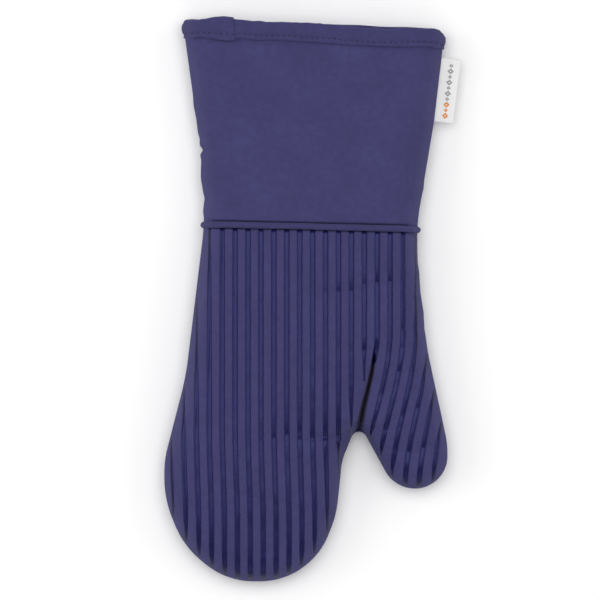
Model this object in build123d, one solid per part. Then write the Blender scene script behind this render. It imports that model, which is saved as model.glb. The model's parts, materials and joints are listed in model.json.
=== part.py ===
from build123d import *
import functools
import math
import os

# Quilted oven mitt, lying on its back on a table.
# +X points to the thumb side, +Y to the open cuff end and +Z up, out of the front of the hand.
# All sizes are in millimetres.

# ---------------------------------------------------------------- driving dimensions
SHELL = 0.6                 # cotton shell cloth
BATTING = 3.8               # quilt wadding between shell and lining
LINING = 1.0                # lining cloth
WALL = SHELL + BATTING + LINING

TAPE = 0.8                  # folded binding tape, standing proud of the wall on each side
STRIPE_HEIGHT = 0.8         # silicone stripes, standing proud of the shell
BACK_Z = 0.8                # underside of the back shell, above the table
FRONT_Z = 40.0              # top of the front shell
SEAM_Z = 10.6               # height of the side seam that joins front and back
FRONT_ROUND = 20.0          # rounding of the front at its edge
BACK_ROUND = 9.4            # rounding of the back at its edge

MOUTH_Y = 179.8             # mouth edge at x = 0
MOUTH_SLOPE = -0.0387       # the mouth edge falls towards the thumb side
BINDING_WIDTH = 13.0
LAP_EXTRA = 0.6             # the lapped end is this much wider than the tape under it
LAP_END_X = -50.8           # free end of the binding tape, lapped over its start
PIPING_Y = 46.9             # middle of the piping at x = 0
PIPING_SLOPE = -0.0227
PIPING_RADIUS = 2.1
CORD_RADIUS = 1.5
PIPING_SINK = 0.3           # depth of the front piping's centre line below the shell's surface
BACK_PIPING_BEND = 8.1      # bend of the back piping at the edges of the mitt

STRIPES = 23
STRIPE_WIDTH = 3.0
STRIPE_PITCH = 8.4
STRIPE_START_X = -92.0      # first stripe, on the side away from the thumb
STRIPE_MARGIN = 2.5         # bare cloth left between a stripe and the side seam
THUMB_STRIPE = 16           # this stripe and those after it run down the thumb
THUMB_LEAN = 18.0           # sideways run of the thumb's stripes, less for the outer ones
THUMB_LEAN_STEP = 0.8
THUMB_LEAN_SPAN = (-20.0, -125.0)
FINGER_DRIFT = 2.8          # slight sideways run of the other stripes, near the fingertips
FINGER_DRIFT_SPAN = (-80.0, -150.0)
STRIPE_FOOT = {15: -73.0, 16: -52.0}    # stripes that end in the fold above the crotch
STRIPE_LOWEST_Y = -184.0
STRIPE_CLEARANCE = 0.3      # between a stripe's end and the piping
STRIPE_STATION = 25.0       # spacing of the points that shape a stripe

STITCH_PITCH = 3.7
STITCH_LENGTH = 2.5
THREAD = 0.6
THREAD_DEPTH = 3.0          # side seam's thread, below the shell's surface
STITCH_FROM_HEM = 3.0       # stitch line above the binding's lower edge
STITCH_DEPTH = 0.4
STITCHES = 37

LABEL_WIDTH = 11.6
LABEL_THICKNESS = 0.9
LABEL_LOW_Y = 115.8
LABEL_HIGH_Y = 157.9
LABEL_GAP = 0.3             # clearance between the label and the side of the cuff

# Plan outline, anticlockwise from the mouth: x, y and the radius that rounds each corner.
OUTLINE_END_Y = 192.0       # the outline runs past the mouth, which is cut afterwards
OUTLINE = [
    (-86.0, OUTLINE_END_Y, 0),
    (-75.2, 114.0, 200),    # cuff narrows to the wrist
    (-69.9, 52.5, 150),
    (-82.4, -50.0, 200),    # outer side of the hand
    (-96.4, -104.5, 60),
    (-96.4, -130.0, 72),
    (-84.0, -160.5, 60),
    (-56.0, -183.8, 50),    # finger end
    (-15.3, -183.8, 48),
    (6.4, -164.0, 46),
    (16.1, -141.0, 70),
    (19.8, -104.6, 40),
    (30.1, -80.2, 4.8),     # crotch between fingers and thumb
    (51.0, -118.2, 21.4),   # thumb tip
    (66.0, -125.1, 21.4),
    (82.7, -119.1, 21.4),
    (88.5, -106.7, 21.4),
    (88.5, -93.9, 60),
    (75.2, -32.0, 200),     # outer side of the thumb
    (68.9, 25.4, 150),
    (68.9, 50.3, 120),
    (79.6, 114.5, 150),
    (88.8, OUTLINE_END_Y, 0),
]

BIG = 600.0                 # larger than the mitt, for cutting blocks


# ---------------------------------------------------------------- plan outline
def corner_geometry(index, inset):
    """Moved corner, directions of its two sides, its radius and half its turn."""
    here = Vector(*OUTLINE[index][:2])
    before = Vector(*OUTLINE[index - 1][:2])
    after = Vector(*OUTLINE[(index + 1) % len(OUTLINE)][:2])
    into = (here - before).normalized()
    out = (after - here).normalized()
    left_in = Vector(-into.Y, into.X)
    left_out = Vector(-out.Y, out.X)
    moved = here + (left_in + left_out) * (inset / (1 + left_in.dot(left_out)))
    convex = into.X * out.Y - into.Y * out.X > 0
    radius = OUTLINE[index][2]
    if radius > 0:
        radius += -inset if convex else inset
    half_turn = math.acos(max(-1.0, min(1.0, into.dot(out)))) / 2
    return moved, into, out, radius, half_turn


def outline(inset=0.0):
    """The rounded plan outline with every side moved inwards by inset."""
    corners = [corner_geometry(i, inset) for i in range(len(OUTLINE))]
    edges = []
    for i, (corner, _, out, radius, half_turn) in enumerate(corners):
        following, into, out_next, radius_next, half_next = corners[(i + 1) % len(corners)]
        start = corner + out * (radius * math.tan(half_turn))
        end = following - into * (radius_next * math.tan(half_next))
        edges.append(Edge.make_line(start, end))
        if radius_next > 0:
            bisector = (out_next - into).normalized()
            middle = following + bisector * (radius_next / math.cos(half_next) - radius_next)
            leave = following + out_next * (radius_next * math.tan(half_next))
            edges.append(Edge.make_three_point_arc(end, middle, leave))
    return Wire(edges)


# ---------------------------------------------------------------- closed forms
@functools.lru_cache(maxsize=None)
def pillow(inset):
    """The whole stuffed form, its surface moved inwards by inset."""
    low = BACK_Z + inset
    high = FRONT_Z - inset
    form = extrude(Plane.XY.offset(low) * Face(outline(inset)), high - low)
    for height, radius in ((high, FRONT_ROUND - inset), (low, BACK_ROUND - inset)):
        rim = [
            e for e in form.edges()
            if abs(e.center().Z - height) < 0.01 and e.center().Y < OUTLINE_END_Y - 1.5 - abs(inset)
        ]
        form = fillet(rim, radius)
    return form


def layer(outer, inner):
    """The skin between two depths below the outside of the form."""
    return pillow(outer) - pillow(inner)


def slanted_block(low, high, slope):
    """Everything between two heights up the mitt, measured at x = 0, cut on a slant."""
    middle = (low + high) / 2
    block = Box(BIG, high - low, BIG)
    return Pos(0, middle, 0) * Rot(0, 0, math.degrees(math.atan(slope))) * block


def above(z):
    return Pos(0, 0, z + BIG / 2) * Box(BIG, BIG, BIG)


def below(z):
    return Pos(0, 0, z - BIG / 2) * Box(BIG, BIG, BIG)


WALL_TOP = MOUTH_Y - TAPE
FRONT = above(SEAM_Z)
BACK = below(SEAM_Z)
UP_TO_MOUTH = slanted_block(WALL_TOP - BIG, WALL_TOP, MOUTH_SLOPE)
HAND_END = slanted_block(PIPING_Y - BIG, PIPING_Y, PIPING_SLOPE)
CUFF_END = UP_TO_MOUTH & slanted_block(PIPING_Y, PIPING_Y + BIG, PIPING_SLOPE)


def biggest(shape):
    """The largest solid of a cut shape, without the slivers that a cut may leave."""
    return max(shape.solids(), key=lambda s: s.volume)


def smoothstep(y, start, end):
    """0 above start, 1 below end, and a smooth change between."""
    t = max(0.0, min(1.0, (y - start) / (end - start)))
    return t * t * (3 - 2 * t)


def side_x(y):
    """Where the plan outline crosses a line across the mitt: left x, right x."""
    crossing = (Face(outline()) & Pos(0, y, 0) * Rectangle(BIG, 0.01)).bounding_box()
    return crossing.min.X, crossing.max.X


# ---------------------------------------------------------------- piping between cuff and hand
def piping_path(flat_z, bend, direction):
    """Centre line of the piping from side seam to side seam: direction 1 over, -1 under."""
    lean = math.atan(PIPING_SLOPE)
    left, right = side_x(PIPING_Y)
    start = (left + PIPING_SINK) / math.cos(lean)
    end = (right - PIPING_SINK) / math.cos(lean)
    low = flat_z - direction * bend
    part_way = bend * (1 - math.sqrt(0.5))

    def at(along, z):
        return Vector(along * math.cos(lean), PIPING_Y + along * math.sin(lean), z)

    return Wire([
        Edge.make_line(at(start, SEAM_Z), at(start, low)),
        Edge.make_three_point_arc(
            at(start, low),
            at(start + part_way, flat_z - direction * part_way),
            at(start + bend, flat_z),
        ),
        Edge.make_line(at(start + bend, flat_z), at(end - bend, flat_z)),
        Edge.make_three_point_arc(
            at(end - bend, flat_z),
            at(end - part_way, flat_z - direction * part_way),
            at(end, low),
        ),
        Edge.make_line(at(end, low), at(end, SEAM_Z)),
    ])


def piping(path, section):
    """Sweep a section, drawn about the origin, along the piping's centre line."""
    return sweep(Plane(origin=path @ 0, z_dir=path % 0) * section, path=path)


def add_piping(side, path):
    """A cotton cord in a cloth cover. Returns the whole round form, for cutting its groove."""
    parts[side + "_piping_cover"] = piping(path, Circle(PIPING_RADIUS) - Circle(CORD_RADIUS))
    parts[side + "_piping_cord"] = piping(path, Circle(CORD_RADIUS))
    return piping(path, Circle(PIPING_RADIUS))


# ---------------------------------------------------------------- silicone stripes
def stripe_x(index, y):
    """Centre of a stripe at a height up the mitt. Stripes 0 to 15 run to the fingers."""
    straight = STRIPE_START_X + STRIPE_PITCH * index
    if index < THUMB_STRIPE:
        return straight + FINGER_DRIFT * smoothstep(y, *FINGER_DRIFT_SPAN)
    lean = THUMB_LEAN - THUMB_LEAN_STEP * max(0, index - THUMB_STRIPE - 1)
    return straight - lean * smoothstep(y, *THUMB_LEAN_SPAN)


def stripe_plan(index):
    """Flat shape of one stripe, from below the fingertips to the piping."""
    top = PIPING_Y + PIPING_SLOPE * stripe_x(index, PIPING_Y) - PIPING_RADIUS - STRIPE_CLEARANCE
    foot = STRIPE_FOOT.get(index, STRIPE_LOWEST_Y)
    count = max(3, round((top - foot) / STRIPE_STATION))
    levels = [foot + (top - foot) * i / count for i in range(count + 1)]
    half = STRIPE_WIDTH / 2
    left = Edge.make_spline([Vector(stripe_x(index, y) - half, y) for y in levels])
    right = Edge.make_spline([Vector(stripe_x(index, y) + half, y) for y in levels])
    bottom = Edge.make_line(left @ 0, right @ 0)
    cap = Edge.make_line(left @ 1, right @ 1)
    return Face(Wire([left, bottom, right, cap]))


def stripe(index, coat):
    """One stripe: its flat shape cut out of the silicone coat."""
    column = extrude(stripe_plan(index), BIG, dir=(0, 0, 1), both=True)
    return biggest(column & coat)


# ---------------------------------------------------------------- binding and its stitches
def binding_band(extra=0.0):
    """The slice of the cuff that the binding covers."""
    low = MOUTH_Y - BINDING_WIDTH - extra
    return slanted_block(low, MOUTH_Y, MOUTH_SLOPE)


def stitch_rows(outside):
    """Short dashes of thread, sunk flush into a tape whose face is at this depth."""
    line_y = MOUTH_Y - BINDING_WIDTH + STITCH_FROM_HEM
    line = slanted_block(line_y - THREAD / 2, line_y + THREAD / 2, MOUTH_SLOPE)
    dashes = [
        Pos(STITCH_PITCH * (i - (STITCHES - 1) / 2), MOUTH_Y, 0) * Box(STITCH_LENGTH, BIG, BIG)
        for i in range(STITCHES)
    ]
    band = layer(outside, outside + STITCH_DEPTH) & line
    return [piece for dash in dashes for piece in (band & dash).solids()]


# ---------------------------------------------------------------- label in the side seam
def side_label():
    """A folded woven tape that lies out flat from the side seam, its fold outermost."""
    low_x = side_x(LABEL_LOW_Y)[1]
    high_x = side_x(LABEL_HIGH_Y)[1]
    root = Vector(low_x + LABEL_GAP, LABEL_LOW_Y)
    side = Vector(high_x - low_x, LABEL_HIGH_Y - LABEL_LOW_Y)
    outwards = Vector(side.Y, -side.X).normalized()
    middle = root + side / 2 + outwards * (LABEL_WIDTH / 2)
    turn = math.degrees(math.atan2(side.Y, side.X))
    tape = Box(side.length, LABEL_WIDTH, LABEL_THICKNESS)
    tape = Pos(middle.X, middle.Y, SEAM_Z) * Rot(0, 0, turn) * tape
    fold = [e for e in tape.edges() if e.length > side.length - 0.1]
    fold = sorted(fold, key=lambda e: -e.center().X)[:2]
    return fillet(fold, LABEL_THICKNESS * 0.45)


# ---------------------------------------------------------------- build every piece
parts = {}
wall = layer(0, WALL) & UP_TO_MOUTH
shell = layer(0, SHELL)
quilt = layer(SHELL, SHELL + BATTING) & UP_TO_MOUTH
lining = layer(SHELL + BATTING, WALL) & UP_TO_MOUTH

# Piping: laid on the front of the seam, and flush with the table under the back.
front_cut = add_piping("front", piping_path(FRONT_Z - PIPING_SINK, FRONT_ROUND - PIPING_SINK, 1))
back_cut = add_piping("back", piping_path(PIPING_RADIUS, BACK_PIPING_BEND, -1))

# Side seam: one thread all round the hand, in the wadding behind the shell.
thread_band = above(SEAM_Z - THREAD / 2) & below(SEAM_Z + THREAD / 2)
thread_band = thread_band & slanted_block(MOUTH_Y - BIG, MOUTH_Y - BINDING_WIDTH, MOUTH_SLOPE)
seam_thread = layer(THREAD_DEPTH, THREAD_DEPTH + THREAD) & thread_band

for side, half, groove in (("front", FRONT, front_cut), ("back", BACK, back_cut)):
    parts[side + "_hand_panel"] = biggest(shell & half & HAND_END - groove)
    parts[side + "_cuff_panel"] = biggest(shell & half & CUFF_END - groove)
    parts[side + "_batting"] = biggest((quilt & half) - groove - seam_thread)
    parts[side + "_lining"] = biggest(lining & half)

# Binding: one tape folded over the raw mouth edge, its free end lapped over its start.
tape = (layer(-TAPE, WALL + TAPE) & binding_band()) - wall
lap = layer(-2 * TAPE, -TAPE) & FRONT & binding_band(LAP_EXTRA)
lap = lap & Pos(LAP_END_X - BIG / 2, 0, 0) * Box(BIG, BIG, BIG)
stitches = [
    s for s in stitch_rows(-TAPE)
    if s.center().Z < SEAM_Z or s.center().X > LAP_END_X
]
stitches += [
    s for s in stitch_rows(-2 * TAPE)
    if s.center().Z > SEAM_Z and s.center().X < LAP_END_X
]
parts["cuff_binding"] = biggest(tape + lap - stitches)
parts["binding_stitches"] = Compound(stitches)
parts["side_seam_thread"] = seam_thread
parts["side_label"] = side_label()

# Stripes: one node each on the front, and one group for the hidden back.
stripe_zone = extrude(Face(outline(STRIPE_MARGIN)), BIG, both=True)
coat = layer(-STRIPE_HEIGHT, 0) & stripe_zone
front_coat = coat & above(SEAM_Z)
back_coat = coat & below(SEAM_Z)
for i in range(STRIPES):
    parts[f"front_stripe_{i + 1:02d}"] = stripe(i, front_coat)
parts["back_silicone_stripes"] = Compound([stripe(i, back_coat) for i in range(STRIPES)])

os.makedirs("parts", exist_ok=True)
for name, shape in parts.items():
    shape.label = name
    export_step(shape, f"parts/{name}.step")
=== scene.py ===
import bmesh
import bpy
import json
import math
import numpy as np
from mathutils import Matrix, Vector, geometry, kdtree, noise


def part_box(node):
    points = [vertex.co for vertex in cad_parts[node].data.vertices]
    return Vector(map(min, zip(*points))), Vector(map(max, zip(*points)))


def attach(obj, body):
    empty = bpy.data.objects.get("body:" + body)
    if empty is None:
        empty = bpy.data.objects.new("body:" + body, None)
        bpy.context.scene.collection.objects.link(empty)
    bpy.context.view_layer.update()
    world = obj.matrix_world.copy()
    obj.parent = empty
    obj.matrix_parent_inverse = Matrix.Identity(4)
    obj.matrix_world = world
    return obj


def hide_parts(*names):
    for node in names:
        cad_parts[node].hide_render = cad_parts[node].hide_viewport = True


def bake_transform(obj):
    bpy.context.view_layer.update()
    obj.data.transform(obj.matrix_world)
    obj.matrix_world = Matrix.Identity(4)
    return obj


# Quilted oven mitt on its back: +X to the thumb, +Y to the open cuff, +Z up.
# Shapes are worked out in millimetres in the frame of the CAD model, and put into meshes in metres.

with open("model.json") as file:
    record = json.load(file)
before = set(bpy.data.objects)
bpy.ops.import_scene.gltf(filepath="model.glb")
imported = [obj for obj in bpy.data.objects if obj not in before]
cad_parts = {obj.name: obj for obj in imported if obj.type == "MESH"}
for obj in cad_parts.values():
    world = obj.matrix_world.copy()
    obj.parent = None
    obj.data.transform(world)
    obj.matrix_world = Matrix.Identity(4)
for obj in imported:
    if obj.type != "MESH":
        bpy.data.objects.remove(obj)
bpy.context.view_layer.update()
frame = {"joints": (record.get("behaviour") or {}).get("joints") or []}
MM = 0.001


def cad(node):
    """Lowest and highest corner of a CAD node, in millimetres."""
    low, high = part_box(node)
    return np.array(low) / MM, np.array(high) / MM


# ---- driving dimensions
SEAM_Z = float((cad("side_seam_thread")[0][2] + cad("side_seam_thread")[1][2]) / 2)
SKIN_LOW_Z = float(cad("back_hand_panel")[0][2])
MOUTH_Y = 179.8  # mouth edge at x = 0
MOUTH_SLOPE = -0.0387
TAPE = 0.8
BINDING_WIDTH = 13.0
LAP_END_X = -50.8
PIPING_Y = 46.9  # piping at x = 0
PIPING_SLOPE = -0.0227
PIPING_RADIUS = 2.1
SHELL = 0.6  # thickness of the outer cloth
BATTING = 3.8
LINING = 1.0
CLEAR_OF_FLOOR = 0.05  # nothing comes nearer to the floor than this

OUTLINE_END_Y = 192.0
OUTLINE = [  # the CAD model's plan outline: x, y and corner radius
    (-86.0, OUTLINE_END_Y, 0), (-75.2, 114.0, 200), (-69.9, 52.5, 150), (-82.4, -50.0, 200),
    (-96.4, -104.5, 60), (-96.4, -130.0, 72), (-84.0, -160.5, 60), (-56.0, -183.8, 50),
    (-15.3, -183.8, 48), (6.4, -164.0, 46), (16.1, -141.0, 70), (19.8, -104.6, 40),
    (30.1, -80.2, 4.8), (51.0, -118.2, 21.4), (66.0, -125.1, 21.4), (82.7, -119.1, 21.4),
    (88.5, -106.7, 21.4), (88.5, -93.9, 60), (75.2, -32.0, 200), (68.9, 25.4, 150),
    (68.9, 50.3, 120), (79.6, 114.5, 150), (88.8, OUTLINE_END_Y, 0),
]

EDGE_RADIUS = 16.0  # how far in from the side seam the padding is still rounding over
HAND_EDGE_RISE = 12.5
CUFF_EDGE_RISE = 10.0
HAND_CROWN = 14.0  # further rise towards the middle
CUFF_CROWN = 11.5
BACK_RADIUS = 12.0
SEAM_PINCH = 0.8  # the sewn edge is drawn in by this much
CUFF_FROM = (30, 75)  # the hand's padding changes to the cuff's between these heights


def smooth(value, start, end):
    """0 before start, 1 after end, smooth between. Works on numbers and arrays."""
    t = np.clip((np.asarray(value, float) - start) / (end - start), 0, 1)
    return t * t * (3 - 2 * t)


def mouth_y(x):
    return MOUTH_Y + MOUTH_SLOPE * x


def piping_y(x):
    return PIPING_Y + PIPING_SLOPE * x


def unit(vectors):
    """Vectors scaled to length 1."""
    return vectors / np.linalg.norm(vectors, axis=-1, keepdims=True)


def headings(points):
    """Unit directions along a chain of points."""
    return unit(np.gradient(points, axis=0))


def travel(points):
    """Distance travelled along a chain of points, from 0 at its start."""
    return np.concatenate([[0], np.cumsum(np.linalg.norm(np.diff(points, axis=0), axis=1))])


def resample(values, places, stations):
    """Rows of values that are known at places along a line, worked out at its stations."""
    return np.stack([np.interp(stations, places, column) for column in values.T], 1)


# ---- plan outline
ARC_STEP = 0.2
EDGE_STEP = 0.5
SIDES_ABOVE_Y = -60  # the sides of the wrist and cuff are looked for above this
RIGHT_SIDE_X = 60  # and the right one beyond this


def outline_chain(step):
    """Points evenly along the side seam, from the mouth's left end to its right, and inward normals."""
    corners = np.array([c[:2] for c in OUTLINE])
    fine = [corners[0]]
    for i in range(1, len(OUTLINE) - 1):
        into = unit(corners[i] - corners[i - 1])
        out = unit(corners[i + 1] - corners[i])
        half_turn = math.acos(np.clip(into @ out, -1, 1)) / 2
        radius = OUTLINE[i][2]
        tangent = radius * math.tan(half_turn)
        centre = corners[i] + unit(out - into) * radius / math.cos(half_turn)
        start = corners[i] - into * tangent - centre
        turn = math.copysign(2 * half_turn, into[0] * out[1] - into[1] * out[0])
        for angle in np.linspace(0, turn, max(3, int(radius * abs(turn) / ARC_STEP))):
            c, s = math.cos(angle), math.sin(angle)
            fine.append(centre + np.array([c * start[0] - s * start[1], s * start[0] + c * start[1]]))
    fine.append(corners[-1])
    fine = np.array(fine)
    along = travel(fine)
    points = resample(fine, along, np.linspace(0, along[-1], int(along[-1] / step) + 1))
    ahead = headings(points)
    return points, np.stack([-ahead[:, 1], ahead[:, 0]], 1)


EDGE, EDGE_NORMAL = outline_chain(EDGE_STEP)
edge_tree = kdtree.KDTree(len(EDGE))
for i, p in enumerate(EDGE):
    edge_tree.insert((p[0], p[1], 0), i)
edge_tree.balance()


def nearest_edge(x, y):
    """Distance in from the side seam, and the number of the seam point it is measured from."""
    flat = np.stack([np.ravel(x), np.ravel(y)], 1)
    index = np.array([edge_tree.find((a, b, 0))[1] for a, b in flat], int)
    inside = np.einsum("ij,ij->i", flat - EDGE[index], EDGE_NORMAL[index])
    return inside.reshape(np.shape(x)), index.reshape(np.shape(x))


def side_x(y):
    """Left and right side of the cuff or wrist at a height up the mitt."""
    lowest = int(np.argmin(EDGE[:, 1]))
    left, right = EDGE[:lowest][::-1], EDGE[lowest:]
    left = left[left[:, 1] > SIDES_ABOVE_Y]
    right = right[(right[:, 1] > SIDES_ABOVE_Y) & (right[:, 0] > RIGHT_SIDE_X)]
    order = np.argsort(left[:, 1])
    return np.interp(y, left[order, 1], left[order, 0]), np.interp(y, right[:, 1], right[:, 0])


# ---- how the padding fills out
GRID = 2.0
GRID_X = np.arange(-102, 103, GRID)
GRID_Y = np.arange(-190, 193, GRID)
FILL_ROUNDS = 500
FILL_OVERSHOOT = 1.85  # each round goes this much past the even value, to settle sooner


def fullness():
    """A membrane under even pressure, fixed at the side seam and free at the mouth. 1 at its highest."""
    x, y = np.meshgrid(GRID_X, GRID_Y)
    inside = nearest_edge(x, y)[0] > 0
    rise = np.zeros_like(x)
    parity = np.add.outer(np.arange(len(GRID_Y)), np.arange(len(GRID_X))) % 2
    for _ in range(FILL_ROUNDS):
        for turn in (0, 1):
            up = np.vstack([rise[1:], rise[-1:]])
            down = np.vstack([rise[:1], rise[:-1]])
            left = np.hstack([rise[:, :1], rise[:, :-1]])
            right = np.hstack([rise[:, 1:], rise[:, -1:]])
            even = (up + down + left + right + GRID * GRID) / 4
            change = inside & (parity == turn)
            rise[change] += FILL_OVERSHOOT * (even - rise)[change]
    return np.maximum(rise, 0) / rise.max()


FULL = fullness()


def full_at(x, y):
    """The fullness field between its grid points."""
    fx = np.clip((np.asarray(x) - GRID_X[0]) / GRID, 0, len(GRID_X) - 1.001)
    fy = np.clip((np.asarray(y) - GRID_Y[0]) / GRID, 0, len(GRID_Y) - 1.001)
    i, j = fx.astype(int), fy.astype(int)
    a, b = fx - i, fy - j
    low = FULL[j, i] * (1 - a) + FULL[j, i + 1] * a
    high = FULL[j + 1, i] * (1 - a) + FULL[j + 1, i + 1] * a
    return low * (1 - b) + high * b


# ---- folds and dents of the cloth
CREASE = np.array([
    (42.4, -24.0), (41.3, -31.0), (38.8, -47.4), (36.0, -59.8), (33.2, -71.1), (31.1, -82.4), (30.1, -91.0),
])
CREASE_DEPTH = 13.0
CREASE_BELOW = 2.6  # near the crotch it goes this far below the seam's level
CREASE_HALF = 1.2  # half its width at its upper end
CREASE_SPREAD = 1.3  # and how much wider that is at the crotch
LIP_REACH = 5.0  # the padding rounds over into it from this far
LIP_SHARE = 0.22  # and takes this share of its depth
CROTCH = (31.3, -91.0)
CROTCH_CLEAR = 11.0  # the inner layers are trimmed back this far round it

HEM_DENT = 1.1  # the tape presses the cloth in along its hem
HEM_HALF = 1.4  # half the width of that dent
PIPING_DITCH = 3.2  # the cloth is drawn down to the piping's seam by this much
DITCH_HALF = 2.75
INNER_REACH = 6.0  # the layers inside are pressed in over this distance under both
INNER_PRESS = 1.7  # and under a fold they go in this many times as deep as the cloth

# Folds in the front: x, y, reach along and across, direction in degrees, depth.
FRONT_DENTS = [
    (14.0, -88.5, 19.0, 3.6, 7, 3.0), (41.0, -85.0, 10.0, 3.4, 8, 2.6),  # on both sides of the crotch
    (22.0, 5.0, 15.0, 5.4, 3, 1.2), (46.0, 11.0, 15.0, 5.4, 4, 1.3),  # across the top of the palm
    (62.0, -18.5, 8.0, 4.6, 28, 1.3), (67.0, 2.0, 5.0, 4.0, 10, 0.9),  # at the thumb's root
    (36.0, -33.0, 9.0, 5.0, 5, 1.1), (55.0, -33.0, 6.0, 4.6, 30, 0.9), (60.0, -46.0, 9.0, 4.6, 14, 1.3),
    (49.0, -58.5, 8.0, 5.0, 38, 1.2), (66.0, -72.0, 9.0, 5.0, 30, 1.1),  # on the thumb
    (74.0, -96.0, 12.0, 5.0, 20, 1.1), (58.0, -98.0, 10.0, 5.0, -10, 1.0),
    (-17.0, -88.0, 14.0, 4.0, 14, 0.7),  # in the middle of the fingers
    (-66.0, 106.0, 12.0, 2.4, -12, 0.9), (-61.0, 98.0, 10.0, 2.2, 10, 0.6),  # at the cuff's notch
    (27.5, 160.0, 7.0, 2.2, 70, 0.9), (-40.0, 63.0, 26.0, 5.0, 4, 0.5),  # elsewhere on the cuff
]

# Where the side seam is drawn in or bulges: x, y, reach along the seam, and the push in x.
EDGE_PUSHES = [
    (-72.9, 97.5, 2.2, 2.3), (-73.6, 104.0, 3.5, 0.9), (-72.6, 90.5, 3.5, 0.7),
    (-72.5, 79.0, 4.0, -0.5), (-71.2, 66.0, 3.0, 0.8), (-70.8, 57.5, 3.0, -0.5),
    (-76.5, 126.0, 5.0, -0.5), (71.2, 18.0, 3.5, 0.4), (72.2, 4.5, 3.0, -0.3),
    (73.2, -8.0, 4.0, 0.3), (74.5, -19.0, 3.0, -0.3), (72.0, 72.0, 4.0, 0.4),
]
PUSH_WIDTH = 9.0  # each push is felt this far across


def line_distance(x, y, points):
    """Distance to a chain of points, and how far along it the nearest place is, from 0 to 1."""
    best = np.full(np.shape(x), 1e9)
    place = np.zeros(np.shape(x))
    before = travel(points)
    for k, length in enumerate(np.diff(before)):
        a, b = points[k], points[k + 1]
        t = np.clip(((x - a[0]) * (b[0] - a[0]) + (y - a[1]) * (b[1] - a[1])) / length ** 2, 0, 1)
        gap = np.hypot(x - a[0] - t * (b[0] - a[0]), y - a[1] - t * (b[1] - a[1]))
        nearer = gap < best
        best = np.where(nearer, gap, best)
        place = np.where(nearer, (before[k] + t * length) / before[-1], place)
    return best, place


def wander(x, y, size, seed):
    """Slow seeded noise, about -1 to 1."""
    flat = np.stack([np.ravel(x), np.ravel(y)], 1) / size
    found = [noise.noise((a, b, seed)) for a, b in flat]
    return np.array(found).reshape(np.shape(x))


def crease_wedge(x, y):
    """The crease's V: 1 at its bottom, 0 at its lips. Also the distance to it and the place along it."""
    gap, place = line_distance(x, y, CREASE)
    return np.clip(1 - gap / (CREASE_HALF + CREASE_SPREAD * place), 0, 1), gap, place


def front_folds(x, y, inside, sharp):
    """How far the front is pressed in, in mm. The inner layers follow the folds less sharply."""
    wedge, gap, place = crease_wedge(x, y)
    depth = CREASE_DEPTH * smooth(place, 0.0, 0.4)
    lips = np.exp(-(gap / LIP_REACH) ** 2)
    fold = depth * ((1 - LIP_SHARE) * wedge * sharp + LIP_SHARE * lips)
    dents = 0.5 * wander(x, y, size=34, seed=3.7) + 0.2 * wander(x, y, size=11, seed=8.1) * sharp
    press = 1 if sharp else INNER_PRESS
    for cx, cy, length, width, angle, amount in FRONT_DENTS:
        c, s = math.cos(math.radians(angle)), math.sin(math.radians(angle))
        along = (x - cx) * c + (y - cy) * s
        across = -(x - cx) * s + (y - cy) * c
        valley = np.exp(0.2 - np.sqrt(2 * (across / width) ** 2 + 0.2 ** 2))
        dents = dents + press * amount * np.exp(-(along / length) ** 2) * valley
    piping_gap = y - piping_y(x)
    hem_gap = y - mouth_y(x) + BINDING_WIDTH
    dents = dents + PIPING_DITCH * np.exp(-((piping_gap - 0.4) / DITCH_HALF) ** 8)
    dents = dents + HEM_DENT * np.exp(-((hem_gap + 0.5) / HEM_HALF) ** 2)
    if not sharp:
        fold = fold + depth * lips
        dents = dents + PIPING_DITCH * np.exp(-(piping_gap / INNER_REACH) ** 2)
        dents = dents + 1.5 * HEM_DENT * np.exp(-(hem_gap / INNER_REACH) ** 2)
    return fold + dents * smooth(inside, 0.5, 9)


def warp(x, y):
    """The plan's x with the small sideways pulls that the seams make."""
    moved = np.zeros(np.shape(x))
    for cx, cy, reach, push in EDGE_PUSHES:
        moved = moved + push * np.exp(-((y - cy) / reach) ** 2 - ((x - cx) / PUSH_WIDTH) ** 2)
    return x + moved


# ---- the two faces of the mitt
def dome(inside, radius):
    """Rounding of a padded edge: 0 at the seam, 1 from radius inwards, upright at the seam."""
    return np.sqrt(1 - (1 - np.clip(inside / radius, 0, 1)) ** 2)


def front_z(x, y, inside, sharp=1.0):
    """Height of the front's cloth. With sharp at 0, the smoother height that the inner layers follow."""
    on_cuff = smooth(y, *CUFF_FROM)
    edge = HAND_EDGE_RISE + (CUFF_EDGE_RISE - HAND_EDGE_RISE) * on_cuff
    crown = HAND_CROWN + (CUFF_CROWN - HAND_CROWN) * on_cuff
    rise = edge * dome(inside, EDGE_RADIUS)
    rise = rise + crown * np.sqrt(np.maximum(full_at(x, y), 0)) * np.sqrt(smooth(inside, 0, 7))
    deepest = 0.93 * rise + CREASE_BELOW * smooth(inside, 0.6, 3.5)
    return SEAM_Z + rise - np.minimum(front_folds(x, y, inside, sharp), deepest)


def back_z(x, y, inside, sharp=1.0):
    """Height of the back, which lies flat on the floor."""
    return SEAM_Z - (SEAM_Z - SKIN_LOW_Z) * dome(inside, BACK_RADIUS)


SIDES = {"front": front_z, "back": back_z}

# ---- nets of points over the plan
RING_DEPTHS = (0.0, 0.08, 0.3, 0.7, 1.3, 2.1, 3.1, 4.4, 6.0)
RING_STEP = 1.4  # the widest step along a ring
NET_HALF_WIDTH = 97
NET_LOW_Y = -185
CREASE_STEP = 0.9
CREASE_ROWS = (0.0, 0.5, 0.8, 1.1, 1.4, 1.7, 2.0, 2.4, 3.1)
PIPING_STEP = 1.6
PIPING_ROWS = (-4.4, -3.4, -2.8, -2.45, -2.1, -1.7, -1.0, 0.0, 1.0, 2.0, 2.6, 2.95, 3.3, 3.8, 4.8)


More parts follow.
